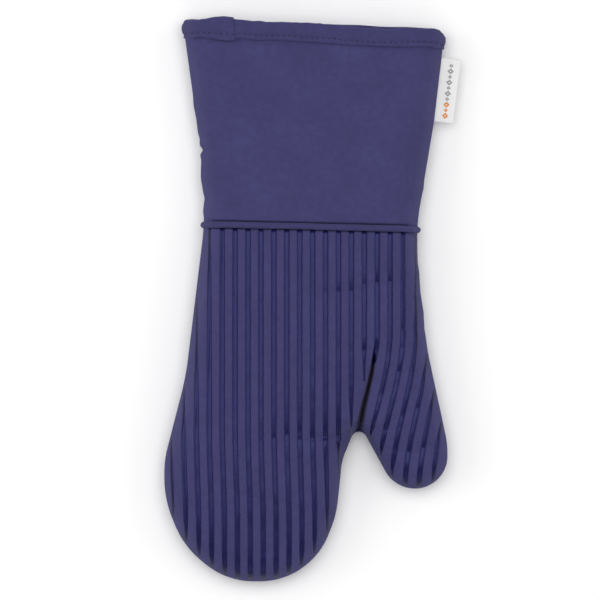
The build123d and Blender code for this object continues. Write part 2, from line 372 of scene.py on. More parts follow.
def grid_faces(rows, columns, wrap_columns=False, first=0):
    """Quads over a grid of points stored row by row."""
    faces = []
    for r in range(rows - 1):
        for c in range(columns if wrap_columns else columns - 1):
            n = (c + 1) % columns
            a = first + r * columns
            faces.append((a + c, a + n, a + columns + n, a + columns + c))
    return faces


def grid_uv(rows, columns):
    """Cloth coordinates over a grid: from its rows' places and its columns' places."""
    return np.stack([np.repeat(rows, len(columns)), np.tile(columns, len(rows))], 1)


def flipped(faces):
    return [f[::-1] for f in faces]


def tube_faces(rows, columns, first=0):
    """Faces of a closed body: a grid wrapped round, and a cap at both ends."""
    faces = grid_faces(rows, columns, wrap_columns=True, first=first)
    last = first + (rows - 1) * columns
    faces.append(tuple(range(first, first + columns))[::-1])
    faces.append(tuple(range(last, last + columns)))
    return faces


def crease_net():
    """Close rows of points on both sides of the crease."""
    ahead = headings(CREASE)
    reach = travel(CREASE)
    stations = np.arange(0, reach[-1], CREASE_STEP)
    middle = resample(CREASE, reach, stations)
    across = resample(np.stack([-ahead[:, 1], ahead[:, 0]], 1), reach, stations)
    rows = [middle]
    for row in CREASE_ROWS[1:]:
        rows += [middle + across * row, middle - across * row]
    return np.concatenate(rows)


def piping_net():
    """Close rows of points along the ditch that the piping lies in."""
    along = np.arange(-90, 90, PIPING_STEP)
    return np.concatenate([np.column_stack([along, piping_y(along) + row]) for row in PIPING_ROWS])


def plan_mesh(step, folded):
    """Points and faces over the whole plan: rings along the seam, and an even net of triangles within.

    A folded one is finer along the crease and the piping.
    """
    chain, normal = outline_chain(min(step, RING_STEP))
    count = len(chain)
    points = np.concatenate([chain + normal * depth for depth in RING_DEPTHS])
    faces = grid_faces(len(RING_DEPTHS), count)
    net = []
    rows = np.arange(NET_LOW_Y, OUTLINE_END_Y - step, step * math.sqrt(3) / 2)
    for r, y in enumerate(rows):
        for x in np.arange(-NET_HALF_WIDTH + (r % 2) * step / 2, NET_HALF_WIDTH, step):
            net.append((x, y))
    net = np.array(net)
    if folded:
        clear = line_distance(net[:, 0], net[:, 1], CREASE)[0] > CREASE_ROWS[-1] + 0.6
        gap = net[:, 1] - piping_y(net[:, 0])
        clear &= (gap < PIPING_ROWS[0] - 0.7) | (gap > PIPING_ROWS[-1] + 0.7)
        net = np.concatenate([net[clear], crease_net(), piping_net()])
    inside, _ = nearest_edge(net[:, 0], net[:, 1])
    net = net[inside > RING_DEPTHS[-1] + 0.55 * step]
    corners = [Vector(p) for p in np.concatenate([points[-count:], net])]
    found = geometry.delaunay_2d_cdt(corners, [], [list(range(count))], 1, 1e-5)
    if len(found[0]) != len(corners):
        raise RuntimeError("the plan net has crossing edges")
    where = np.zeros(len(corners), int)
    for new, old in enumerate(found[3]):
        for o in old:
            where[new] = o
    base = len(points) - count
    faces += [tuple(int(base + where[v]) for v in f) for f in found[2]]
    points = np.concatenate([points, net])
    inside = np.concatenate([np.repeat(RING_DEPTHS, count), nearest_edge(net[:, 0], net[:, 1])[0]])
    return points, faces, inside


def shifted(points, faces, distance):
    """Points moved inwards by distance along the surface's normals."""
    if distance == 0:
        return points
    a, b, c = (points[[f[k] for f in faces]] for k in (0, 1, 2))
    face_normal = np.cross(b - a, c - a)
    normal = np.zeros_like(points)
    for k in range(4):
        has = [i for i, f in enumerate(faces) if len(f) > k]
        np.add.at(normal, [faces[i][k] for i in has], face_normal[has])
    normal /= np.maximum(np.linalg.norm(normal, axis=1), 1e-9)[:, None]
    return points - normal * distance


def in_scene(name, data):
    """A new object in the scene."""
    obj = bpy.data.objects.new(name, data)
    bpy.context.scene.collection.objects.link(obj)
    return obj


def new_object(name, points, faces, uv=None, smooth_shade=True):
    """A mesh object from points in millimetres. The caps of tubes stay flat shaded."""
    mesh = bpy.data.meshes.new(name)
    mesh.from_pydata([tuple(p) for p in np.asarray(points) * MM], [], faces)
    if uv is not None:
        layer = mesh.uv_layers.new(name="cloth")
        index = np.zeros(len(mesh.loops), int)
        mesh.loops.foreach_get("vertex_index", index)
        layer.data.foreach_set("uv", (np.asarray(uv)[index] * MM).ravel())
    smooth_faces = [smooth_shade and len(f.vertices) < 5 for f in mesh.polygons]
    mesh.polygons.foreach_set("use_smooth", smooth_faces)
    mesh.validate()
    return in_scene(name, mesh)


def cut(work, point, normal):
    """Cut the mesh with a plane and drop what is on the normal's side."""
    bmesh.ops.bisect_plane(
        work, geom=work.verts[:] + work.edges[:] + work.faces[:], dist=1e-7,
        plane_co=Vector(point) * MM, plane_no=normal, clear_outer=True,
    )


def trim_at_crotch(work):
    """Cut an inner layer back round the crotch."""
    centre = Vector(CROTCH) * MM
    near = [v for v in work.verts if (v.co.xy - centre).length < CROTCH_CLEAR * MM]
    bmesh.ops.delete(work, geom=near, context="VERTS")


def thicken(obj, thickness, offset=-1):
    """Give a surface its thickness: inwards, or to both sides with an offset of 0."""
    solid = obj.modifiers.new("thickness", "SOLIDIFY")
    solid.thickness = thickness * MM
    solid.offset = offset


STEEP_CLOTH = 0.45  # on the steep edge the cloth is this much longer, in edge radii
SEAM_REACH = 2.5  # the seam's pinch is felt this far in


def face_of(side, step, depth, sharp=1.0):
    """Points, faces and cloth coordinates of a whole side of the mitt, at a depth below its surface."""
    points, faces, inside = plan_mesh(step, folded=side == "front" and sharp)
    x, y = points[:, 0], points[:, 1]
    z = SIDES[side](x, y, inside, sharp)
    solid = np.stack([x, y, z], 1)
    if side == "back":
        faces = flipped(faces)
    solid = shifted(solid, faces, depth)
    uv = np.stack([x, y], 1)
    near, index = nearest_edge(x, y)
    steep = EDGE_RADIUS * STEEP_CLOTH * (1 - np.clip(near / EDGE_RADIUS, 0, 1)) ** 2
    uv = uv - EDGE_NORMAL[index] * steep[:, None]
    solid[:, 0] = warp(solid[:, 0], solid[:, 1])
    pinch = SEAM_PINCH * np.exp(-(solid[:, 2] - SEAM_Z) ** 2) * (inside < SEAM_REACH)
    solid[:, :2] += EDGE_NORMAL[index] * pinch[:, None]
    return solid, faces, uv


MOUTH_NORMAL = Vector((-MOUTH_SLOPE, 1, 0)).normalized()
PIPING_NORMAL = Vector((-PIPING_SLOPE, 1, 0)).normalized()
LAYERS_END = 7.5  # the layers end this far below the mouth edge, inside the binding
MOUTH_POINT = (0, MOUTH_Y - LAYERS_END, 0)
PIPING_POINT = (0, PIPING_Y, 0)


def wall_piece(name, side, step, depth, thickness, part=None, sharp=1.0):
    """One layer of the wall: the whole of a side, or its hand or cuff part."""
    points, faces, uv = face_of(side, step, depth, sharp)
    obj = new_object(name, points, faces, uv)
    if side == "front" and part == "hand":
        # Painted shade: the bottom of the crease is marked so that its cloth is coloured nearly black,
        # standing in for the shadow there.
        wedge, _, place = crease_wedge(points[:, 0], points[:, 1])
        crease_shade_mask = smooth(wedge, 0.0, 0.35) * smooth(place, 0.03, 0.25)
        obj.data.attributes.new("painted_crease_shade", "FLOAT", "POINT").data.foreach_set("value", crease_shade_mask)
    work = bmesh.new()
    work.from_mesh(obj.data)
    cut(work, MOUTH_POINT, MOUTH_NORMAL)
    if depth > 0:
        trim_at_crotch(work)
    if part:
        cut(work, PIPING_POINT, PIPING_NORMAL if part == "hand" else -PIPING_NORMAL)
    work.to_mesh(obj.data)
    work.free()
    thicken(obj, thickness)
    return obj


# ---- points on the finished surface
def surface(side, x, y, offset):
    """Points at an offset outside the cloth surface, above these places in the plan."""
    x, y, offset = np.broadcast_arrays(np.asarray(x, float), np.asarray(y, float), offset)
    height = SIDES[side]
    step = 0.25

    def z_at(px, py):
        return height(px, py, np.maximum(nearest_edge(px, py)[0], 0.0))

    inside, index = nearest_edge(x, y)
    inside = np.maximum(inside, 0.0)
    z = height(x, y, inside)
    slope_x = (z_at(x + step, y) - z_at(x - step, y)) / (2 * step)
    slope_y = (z_at(x, y + step) - z_at(x, y - step)) / (2 * step)
    normal = unit(np.stack([-slope_x, -slope_y, np.ones_like(z)], -1))
    if side == "back":
        normal = -normal
    outwards = np.concatenate([-EDGE_NORMAL[index], np.zeros(np.shape(index) + (1,))], -1)
    normal = np.where((inside < step)[..., None], outwards, normal)
    points = np.stack([x, y, z], -1) + normal * offset[..., None]
    points[..., 0] = warp(points[..., 0], points[..., 1])
    return points


def from_side_to_side(count):
    """Fractions from 0 to 1, close together at both ends."""
    return (1 - np.cos(np.linspace(0, math.pi, count))) / 2


def tube(name, centres, radius, sides):
    """A round tube along a chain of points, in mm."""
    ahead = headings(centres)
    across = np.cross(ahead[0], (0.3, 0.9, 0.3))
    angle = np.linspace(0, 2 * math.pi, sides, endpoint=False)
    rings = []
    for centre, direction in zip(centres, ahead):
        across = unit(across - direction * (across @ direction))
        other = np.cross(direction, across)
        ring = np.outer(np.cos(angle), across) + np.outer(np.sin(angle), other)
        rings.append(centre + ring * radius)
    faces = flipped(tube_faces(len(centres), sides))
    return new_object(name, np.concatenate(rings), faces, grid_uv(travel(centres), angle * radius))


# ---- silicone stripes
STRIPES = 23
STRIPE_WIDTH = 3.5
STRIPE_PITCH = 8.4
STRIPE_START_X = -92.0
STRIPE_RISE = 0.65
STRIPE_SINK = 0.25
THUMB_STRIPE = 16  # number, from 0, of the first stripe that leans over to the thumb
FINGER_DRIFT = 1.5
THUMB_LEAN = 18.0
STRIPE_LOW_Y = -184.0
STRIPE_FOOT = {15: -54.0, 16: -42.0}  # two stripes run out beside the crease
STRIPE_STEP = 1.2
STRIPE_SAMPLES = 61  # places across a stripe where the cloth is looked up
STRIPE_LEAST = 9  # a row with fewer of them on the cloth is left out
STRIPE_RAGGED = 0.14  # how far its printed edges stray
STRIPE_EDGE = 0.8  # the print stops this far from the side seam
STRIPE_TAPER = 3.6  # and thins out over its last few millimetres
STRIPE_SHAPE = (  # across a stripe: place from -1 to 1, and height
    (-1.0, 0.0), (-0.92, 0.42), (-0.76, 0.76), (-0.56, 0.94), (-0.34, 1.0), (0.34, 1.0),
    (0.56, 0.94), (0.76, 0.76), (0.92, 0.42), (1.0, 0.0),
)


def stripe_x(index, y):
    """Centre line of a stripe. Those for the fingers drift a little, those for the thumb lean over."""
    straight = STRIPE_START_X + STRIPE_PITCH * index
    if index < THUMB_STRIPE:
        return straight + FINGER_DRIFT * (1 - smooth(y, -150, -80))
    lean = THUMB_LEAN - 0.8 * max(0, index - THUMB_STRIPE - 1)
    return straight - lean * (1 - smooth(y, -125, -20))


def stripe_rows(index, side):
    """Rows of the stripe's left and right edges, clipped to the cloth: y, left x, right x."""
    top = piping_y(stripe_x(index, PIPING_Y)) + 0.6
    y = np.arange(top, STRIPE_FOOT.get(index, STRIPE_LOW_Y), -STRIPE_STEP)
    half = STRIPE_WIDTH / 2
    x = stripe_x(index, y)[:, None] + np.linspace(-half, half, STRIPE_SAMPLES)[None, :]
    rows_y = np.broadcast_to(y[:, None], x.shape)
    inside = nearest_edge(x, rows_y)[0]
    z = SIDES[side](x, rows_y, np.maximum(inside, 0), 0.0)
    steps = np.hypot(np.diff(x, axis=1), np.diff(z, axis=1))
    travelled = np.cumsum(np.pad(steps, ((0, 0), (1, 0))), axis=1)
    middle = STRIPE_SAMPLES // 2
    from_middle = np.abs(travelled - travelled[:, middle:middle + 1])
    on_cloth = (inside > STRIPE_EDGE) & (from_middle < half + 0.02)
    strays = [wander(np.full_like(y, index * 31.0 + row), y, size=2.6, seed=1.3) for row in (0, 9)]
    left, right = STRIPE_RAGGED * np.stack(strays)
    runs = [[]]
    for k in range(len(y)):
        if on_cloth[k].sum() >= STRIPE_LEAST:
            kept = x[k][on_cloth[k]]
            share = min(1.0, (kept[-1] - kept[0]) / half)
            runs[-1].append((y[k], kept[0] + share * left[k], kept[-1] + share * right[k]))
        elif runs[-1]:
            runs.append([])
    return np.array(max(runs, key=len))


def stripe_mesh(index, side):
    """Points, faces and cloth coordinates of one raised stripe with rounded edges."""
    rows = stripe_rows(index, side)
    place, height = np.array(STRIPE_SHAPE).T
    middle, half = (rows[:, 1] + rows[:, 2]) / 2, (rows[:, 2] - rows[:, 1]) / 2
    x = middle[:, None] + half[:, None] * place[None, :]
    y = np.broadcast_to(rows[:, :1], x.shape)
    from_end = np.arange(len(rows))[::-1] * STRIPE_STEP
    full = np.clip(half / (STRIPE_WIDTH / 2), 0.35, 1) * smooth(from_end, 0, STRIPE_TAPER)
    thin = 0.25 + 0.75 * smooth(nearest_edge(x, y)[0], 0.5, 7)
    rise = STRIPE_RISE * full[:, None] * height[None, :] * thin
    top = surface(side, x, y, rise)
    under = surface(side, x[:, [0, -1]], y[:, [0, -1]], -STRIPE_SINK)
    points = np.concatenate([top, under[:, ::-1]], axis=1)
    faces = tube_faces(len(rows), points.shape[1])
    if side == "front":
        faces = flipped(faces)
    uv = grid_uv(rows[:, 0], np.append(place, (1, -1)) * STRIPE_WIDTH / 2)[:, ::-1]
    return points.reshape(-1, 3), faces, uv


# ---- piping
PIPING_POINTS = 170


def piping_line(side):
    """Centre line of the piping over one side, from seam to seam."""
    left, right = side_x(PIPING_Y)
    x = left + (right - left) * from_side_to_side(PIPING_POINTS)
    y = piping_y(x)
    inside = np.maximum(nearest_edge(x, y)[0], 0)
    lift = PIPING_DITCH + 0.1 if side == "front" else -1.0
    line = surface(side, x, y, -0.3 + lift * smooth(inside, 0.5, 9))
    line[:, 2] = np.maximum(line[:, 2], PIPING_RADIUS + CLEAR_OF_FLOOR)
    return line


# ---- binding round the mouth
STITCH_LINE = BINDING_WIDTH - 3.0
TAPE_LEFT_X = -84
TAPE_SPAN = 171  # from one side of the mouth to the other
BINDING_SHAPE = (  # across the tape: distance below the mouth edge, height off the cloth
    (12.7, -0.1), (13.0, 0.5), (12.95, 1.0), (12.4, 1.3), (11.4, 1.2), (10.5, 0.9), (10.0, 0.75),
    (9.5, 0.85), (8.6, 1.1), (7.0, 1.3), (5.0, 1.35), (3.0, 1.3), (1.5, 1.15), (0.7, 0.8),
    (0.15, 0.1), (0.0, -0.9), (0.0, -2.7), (0.0, -4.5), (0.15, -5.5), (0.7, -6.2),
    (1.5, -6.5), (3.0, -6.6), (6.0, -6.6), (9.0, -6.5), (10.0, -6.1), (11.0, -6.3), (12.2, -6.3),
    (12.8, -6.1), (12.9, -5.6),
)

# The mouth edge and the hem of the tape aren't straight: x, and how far each lies above its line.
MOUTH_WAVE = [
    (-84, -3.4), (-82.2, -1.0), (-79, -1.2), (-68, -0.4), (-54, 1.0), (-50, 0.7), (-46, 0.3),
    (-39, -0.4), (-24, -0.3), (12, -0.4), (24, -1.2), (31, -1.9), (40, -1.5), (49, -2.2),
    (63, -0.8), (72, -1.3), (79, -0.2), (83, -1.2), (85.2, -2.8), (87, -4.6),
]
HEM_WAVE = [
    (-84, 0.0), (-79, 0.5), (-72, 1.6), (-66, 1.2), (-58, 0.3), (-52, 0.4), (-47, 1.5), (-36, 0.8),
    (-24, 1.2), (12, 0.4), (24, -0.5), (40, -0.8), (57, -0.7), (66, 0.6), (76, 1.0), (86, -0.6),
]
LAP_RISE = 1.1  # the tape lies this much higher where it lies over its own start
STITCH_PITCH = 3.7
STITCH_START = 0.7  # of a pitch, before the first stitch


def wave(x, table):
    """A smooth line through listed points."""
    places, heights = (np.array([p[k] for p in table], float) for k in (0, 1))
    k = np.clip(np.searchsorted(places, x) - 1, 0, len(places) - 2)
    t = smooth((x - places[k]) / (places[k + 1] - places[k]), 0, 1)
    return heights[k] * (1 - t) + heights[k + 1] * t


def lap(x, side):
    """1 where the end of the tape lies over its start, on the front, fading out towards the side."""
    if side == "back":
        return np.zeros(np.shape(x))
    return smooth(x, -80, -62) * (x < LAP_END_X)


def stitch_wave(x):
    """1 at the middle of each stitch, -1 between two."""
    return np.cos(2 * math.pi * ((x - TAPE_LEFT_X) / STITCH_PITCH - STITCH_START))


def tape_point(share, side, below, height):
    """Places on the bound mouth: share of its width, distance below its edge, height off the cloth."""
    share, below, height = np.broadcast_arrays(share, below, height)
    x = TAPE_LEFT_X + TAPE_SPAN * share
    side_gap = np.minimum(share, 1 - share) * TAPE_SPAN
    at_side = np.exp(-(side_gap / 4.5) ** 2)
    mouth, hem = wave(x, MOUTH_WAVE), wave(x, HEM_WAVE)
    if side == "front":
        mouth = mouth + 0.55 * wander(x, 0 * x, size=4.5, seed=12.3) * (1 - at_side)
    else:
        near_side = np.exp(-(side_gap / 9.0) ** 2)
        mouth = mouth * near_side + 0.5 * wander(x, 0 * x, size=21, seed=4.4) * (1 - near_side)
        hem = hem * near_side + 0.4 * wander(x, 0 * x, size=17, seed=9.4) * (1 - near_side)
    rise = lap(x, side) * LAP_RISE
    outer = smooth(height, -1.2, 0.2)
    inner = smooth(-height, 5.4, 6.2)
    puff = at_side * (0.3 * smooth(below, 0, 4) * (1 - smooth(below, 9, 12.5)) - 0.6)
    crumple = 0.22 * wander(x, below * 1.5, size=6, seed=2.2) + 0.3 * wander(x, below, size=19, seed=6.1)
    reach = below / BINDING_WIDTH
    lowered = below - mouth * (1 - reach) - hem * reach - rise * (1 - smooth(below, 0, 1.2))
    pucker = 0.65 * np.exp(-((below - STITCH_LINE) / 1.2) ** 2) * (0.5 + 0.5 * stitch_wave(x))
    raised = height + outer * (rise + puff + crumple * smooth(below, 0, 4) - pucker) - inner * rise
    px = x
    for _ in range(3):  # the sides of the cuff lean, so x and y settle together
        py = mouth_y(px) - lowered
        left, right = side_x(py)
        px = left + (right - left) * share
    points = surface(side, px, py, raised)
    points[..., 2] = np.maximum(points[..., 2], CLEAR_OF_FLOOR)
    return points


TAPE_POINTS = 340
LAP_GAPS = (-1.5, -0.8, -0.35, -0.08, 0.08, 0.5, 1.2)


def binding_shares():
    """Places along the tape, closer together at the sides and on both sides of the lap's edge."""
    places = set(np.round(from_side_to_side(TAPE_POINTS), 5))
    for gap in LAP_GAPS:
        places.add((LAP_END_X - TAPE_LEFT_X) / TAPE_SPAN + gap / TAPE_SPAN)
    return np.array(sorted(places))


def binding():
    """The tape round the mouth, and its width and length in metres as cut flat."""
    below, height = np.array(BINDING_SHAPE).T
    shares = binding_shares()
    front = tape_point(shares[:, None], "front", below[None, :], height[None, :])
    back = tape_point(shares[1:-1][::-1][:, None], "back", below[None, :], height[None, :])
    ring = np.concatenate([front, back])
    rows, columns = ring.shape[:2]
    faces = grid_faces(rows, columns)
    last = (rows - 1) * columns
    faces += [(last + c, last + c + 1, c + 1, c) for c in range(columns - 1)]
    across = travel(np.array(BINDING_SHAPE))
    along = travel(ring[:, 8])
    obj = new_object("binding_tape", ring.reshape(-1, 3), flipped(faces), grid_uv(along, across))
    return obj, (along[-1] * MM, across[-1] * MM)


STITCHES = 45
STITCH_LENGTH = 2.3
STITCH_RADIUS = 0.42
STITCH_SIDES = 8
LAST_STITCH = 0.985  # the run ends at this share of the tape's width
STITCH_ARC = (  # along a stitch: place from -1 to 1, height off the cloth, share of radius
    (-1.0, 0.05, 0.55), (-0.8, 0.42, 0.9), (-0.3, 0.62, 1.0),
    (0.3, 0.62, 1.0), (0.8, 0.42, 0.9), (1.0, 0.05, 0.55),
)


def binding_stitches():
    """The run of stitches that holds the tape, on both sides, as one mesh."""
    place, height, thickness = np.array(STITCH_ARC).T
    radius = (STITCH_RADIUS * thickness)[:, None, None]
    angle = np.linspace(0, 2 * math.pi, STITCH_SIDES, endpoint=False)[None, :, None]
    points, faces = [], []
    for side in ("front", "back"):
        for k in range(STITCHES):
            share = ((k + STITCH_START) * STITCH_PITCH + place * STITCH_LENGTH / 2) / TAPE_SPAN
            if share[-1] > LAST_STITCH:
                continue
            centre = tape_point(share, side, STITCH_LINE, height)
            up = unit(tape_point(share, side, STITCH_LINE, height + 0.5) - centre)
            out = unit(np.cross(np.gradient(centre, axis=0), up))
            rings = radius * (np.cos(angle) * out[:, None] + np.sin(angle) * up[:, None])
            first = len(points) * len(STITCH_ARC) * STITCH_SIDES
            faces += tube_faces(len(STITCH_ARC), STITCH_SIDES, first)
            points.append((centre[:, None] + rings).reshape(-1, 3))
    return new_object("binding_stitching", np.concatenate(points), faces)


# ---- side label
JOINT = frame["joints"][0]
LABEL_AXIS = np.array(JOINT["axis"], float)
LABEL_OUT = np.cross(LABEL_AXIS, (0, 0, 1))
LABEL_LENGTH = 42.2
LABEL_REACH = 11.3
LABEL_PLY = 0.22
LABEL_START = 0.1
LABEL_TUCK = 2.6  # how far its root goes into the seam
LABEL_GAP = 0.3  # height of each ply off the label's middle, at the root
LABEL_PUFF = 0.16  # and how much higher it stands half way out
LABEL_BEND = 0.4


def label_point(along, outwards, up):
    """Places on the label: along the seam, out from it, and up. It sags and leans a little."""
    along, outwards, up = np.broadcast_arrays(along, outwards, up)
    sag = 0.25 * np.sin(along / LABEL_LENGTH * 5.1) * smooth(outwards, 0, 9)
    lean = 0.35 * (along / LABEL_LENGTH - 0.5) * smooth(outwards, 0, 10)
    root = np.array(JOINT["pos_m"], float) / MM
    level = root + along[..., None] * LABEL_AXIS + (outwards + lean)[..., None] * LABEL_OUT
    return level + (up + sag)[..., None] * np.array([0, 0, 1.0])


def label_height(reach):
    """Height of the upper ply off the label's middle."""
    return LABEL_GAP + LABEL_PUFF * math.sin(math.pi * max(reach, 0) / LABEL_REACH)


def label_section():
    """The folded ribbon from its root out, round the fold and back: reach and height."""
    fold = LABEL_REACH - LABEL_BEND
    upper = [(r, label_height(r)) for r in np.linspace(-LABEL_TUCK, fold, 15)]
    turn = np.linspace(1.2, -1.2, 5)
    bend = [(fold + LABEL_BEND * math.cos(a), LABEL_GAP * math.sin(a)) for a in turn]
    return np.array(upper + bend + [(r, -h) for r, h in upper[::-1]])


def label():
    """The folded ribbon, and its width and length in metres as cut flat."""
    section = label_section()
    along = np.linspace(LABEL_START, LABEL_LENGTH, 46)
    points = label_point(along[:, None], section[None, :, 0], section[None, :, 1])
    across = travel(section)
    faces = grid_faces(len(along), len(section))
    obj = new_object("label_ribbon", points.reshape(-1, 3), faces, grid_uv(along, across)[:, ::-1])
    thicken(obj, LABEL_PLY, offset=0)
    return obj, (across[-1] * MM, (LABEL_LENGTH - LABEL_START) * MM)


MOTIFS = 10
ACCENT_MOTIFS = 3  # the lowest few are in the second colour
MOTIF_START = 4.6
MOTIF_PITCH = 3.65
MOTIF_REACH = 5.7
MOTIF_SIZES = (2.1, 1.4)  # from middle to corner, in turn
MOTIF_WIDTH = 0.95  # of that size, along the label
MOTIF_RINGS = ((0.0, 1.0), (0.09, 1.0), (0.11, 0.86), (0.09, 0.3), (0.0, 0.3))  # lift, share of size


def label_motifs():
    """A row of woven diamonds on both faces of the label, the lowest in the second colour."""
    grey, accent = ([], []), ([], [])
    for k in range(MOTIFS):
        middle = MOTIF_START + k * MOTIF_PITCH
        size = MOTIF_SIZES[k % 2]
        quarters = np.arange(4) * math.pi / 2
        corners = [(math.cos(a) * size * MOTIF_WIDTH, math.sin(a) * size) for a in quarters]
        points, faces = accent if k < ACCENT_MOTIFS else grey
        for sign in (1, -1):
            rows = grid_faces(len(MOTIF_RINGS), len(corners), wrap_columns=True, first=len(points))
            faces += rows if sign == 1 else flipped(rows)
            for lift, scale in MOTIF_RINGS:
                for du, dv in corners:
                    reach = MOTIF_REACH + dv * scale
                    up = sign * (label_height(reach) + LABEL_PLY / 2 + lift)
                    points.append(label_point(middle + du * scale, reach, up))
    return new_object("label_motif_grey", *grey), new_object("label_motif_accent", *accent)


# ---- make the pieces
CLOTH_STEP = {"front": 1.5, "back": 2.2}  # distance between a layer's points
WADDING_STEP = 4.0
WADDING_LOOSE = 0.15  # the wadding lies this far from the cloth on both sides
LINING_STEP = 3.0
SEAM_THREAD_IN = 3.0  # in from the outline


def add_piece(obj, material, slot, *nodes, body="mitt"):
    obj.data.materials.append(MATERIALS[material])
    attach(obj, body)
    if nodes:
        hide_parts(*nodes)
    return obj


def add_wall():
    for side, step in CLOTH_STEP.items():
        depth, thickness = SHELL + WADDING_LOOSE, BATTING - 2 * WADDING_LOOSE
        pad = wall_piece(f"{side}_wadding", side, WADDING_STEP, depth, thickness, sharp=0.0)
        add_piece(pad, "batting", "batting", f"{side}_batting")
        inner = wall_piece(f"{side}_lining_cloth", side, LINING_STEP, SHELL + BATTING, LINING, sharp=0.0)
        add_piece(inner, "lining", "lining", f"{side}_lining")
        for part in ("hand", "cuff"):
            cloth = wall_piece(f"{side}_{part}_cloth", side, step, 0, SHELL, part)
            add_piece(cloth, "cloth", "cotton_navy", f"{side}_{part}_panel")


def add_stripes():
    for k in range(STRIPES):
        points, faces, uv = stripe_mesh(k, "front")
        obj = new_object(f"silicone_stripe_{k + 1:02d}", points, faces, uv)
        add_piece(obj, "silicone", "silicone_navy", f"front_stripe_{k + 1:02d}")
    points, faces, uv = [], [], []
    for k in range(STRIPES):
        more, more_faces, more_uv = stripe_mesh(k, "back")
        first = sum(len(p) for p in points)
        faces += [tuple(v + first for v in f) for f in more_faces]
        points.append(more)
        uv.append(more_uv)
    points = np.concatenate(points)
    points[:, 2] = np.maximum(points[:, 2], CLEAR_OF_FLOOR)
    obj = new_object("back_silicone_print", points, faces, np.concatenate(uv))
    add_piece(obj, "silicone", "silicone_navy", "back_silicone_stripes")


def add_piping():
    for side in ("front", "back"):
        line = piping_line(side)
        cover = tube(f"{side}_piping_cloth", line, PIPING_RADIUS, sides=18)
        add_piece(cover, "piping", "cotton_navy", f"{side}_piping_cover")
        cord = tube(f"{side}_piping_core", line, PIPING_RADIUS - SHELL, sides=10)
        add_piece(cord, "core", "cotton_cord", f"{side}_piping_cord")


def add_binding():
    tape, size = binding()
    thicken(tape, TAPE)
    add_piece(tape, "binding", "binding_navy", "cuff_binding")
    add_piece(binding_stitches(), "thread", "thread_navy", "binding_stitches")


def add_seam_thread():
    low_enough = EDGE[:, 1] < mouth_y(EDGE[:, 0]) - LAYERS_END - 0.5
    ring = EDGE[low_enough][::3] + EDGE_NORMAL[low_enough][::3] * SEAM_THREAD_IN
    line = np.column_stack([ring, np.full(len(ring), SEAM_Z)])
    add_piece(tube("seam_thread", line, 0.3, sides=8), "thread", "thread_navy", "side_seam_thread")


def add_label():
    ribbon, size = label()
    ribbon.data.materials.append(MATERIALS["label"])
    start = label_point(0.0, -0.8, 0.0) * MM
    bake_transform(ribbon)
    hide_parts("side_label")
    for obj, material in zip(label_motifs(), ("motif_grey", "motif_accent")):
        add_piece(obj, material, "label_white", body="label")


# ---- materials
def tint(colour, factor):
    return tuple(c * factor for c in colour)


class Nodes:
    """Short calls for building a material's node tree."""

    def __init__(self, name):
        self.material = bpy.data.materials.new(name)
        self.material.use_nodes = True
        self.tree = self.material.node_tree

    def put(self, node, inputs):
        """Set a node's sockets to values, or link them to the outputs of other nodes."""
        for name, value in inputs.items():
            if isinstance(value, bpy.types.NodeSocket):
                self.tree.links.new(value, node.inputs[name])
            else:
                node.inputs[name].default_value = value
        return node

    def add(self, kind, inputs, **settings):
        node = self.tree.nodes.new(kind)
        for name, value in settings.items():
            setattr(node, name, value)
        return self.put(node, inputs)

    def shaded(self, **inputs):
        """The finished material. Its shader's sockets have underscores for spaces."""
        shader = self.tree.nodes["Principled BSDF"]
        self.put(shader, {name.replace("_", " "): value for name, value in inputs.items()})
        return self.material

    def math(self, operation, a, b):
        return self.add("ShaderNodeMath", {0: a, 1: b}, operation=operation).outputs[0]

    def mix(self, *parts):
        """The sum of values, each multiplied by its share."""
        total = self.math("MULTIPLY", *parts[0])
        for value, share in parts[1:]:
            total = self.math("ADD", total, self.math("MULTIPLY", value, share))
        return total

    def above(self, base, value, share):
        """A base, and a share of a value on top."""
        return self.math("ADD", self.math("MULTIPLY", value, share), base)

    def mapped(self, source, scale, turn=0.0):
        inputs = {"Vector": source, "Scale": (scale / MM,) * 3, "Rotation": (0, 0, math.radians(turn))}
        return self.add("ShaderNodeMapping", inputs).outputs[0]

    def cloth(self, scale, turn=0.0):
        """Cloth coordinates, in units of 1 mm divided by scale, turned by an angle in degrees."""
        return self.mapped(self.add("ShaderNodeUVMap", {}, uv_map="cloth").outputs[0], scale, turn)

    def place(self, scale):
        """Coordinates in the object, in units of 1 mm divided by scale."""
        return self.mapped(self.add("ShaderNodeTexCoord", {}).outputs["Object"], scale)

    def noise(self, vector, scale, detail=3, roughness=0.55):
        inputs = {"Vector": vector, "Scale": scale, "Detail": detail, "Roughness": roughness}
        return self.add("ShaderNodeTexNoise", inputs).outputs[0]

    def shades(self, value, colour, dark, light):
        """A colour from dark to light as a value grows. Each end is a value and a factor."""
        node = self.add("ShaderNodeValToRGB", {0: value})
        for element, (at, factor) in zip(node.color_ramp.elements, (dark, light)):
            element.position = at
            element.color = (*tint(colour, factor), 1)
        return node.outputs[0]

    def bump(self, height, strength, distance, onto=None):
        inputs = {"Height": height, "Strength": strength, "Distance": distance * MM}
        if onto is not None:
            inputs["Normal"] = onto
        return self.add("ShaderNodeBump", inputs).outputs[0]

    def yarns(self, vector, along="X"):
        """Rounded yarns side by side, one every 0.63 units."""
        inputs = {"Vector": vector, "Scale": 0.5, "Distortion": 0.35, "Detail": 1, "Detail Scale": 0.6}
        return self.add("ShaderNodeTexWave", inputs, bands_direction=along).outputs[1]


PAINTED_CREASE_SHADE_COLOUR = (0.008, 0.007, 0.02)  # painted shade: the cloth at the bottom of the crease, coloured nearly black in place of its shadow
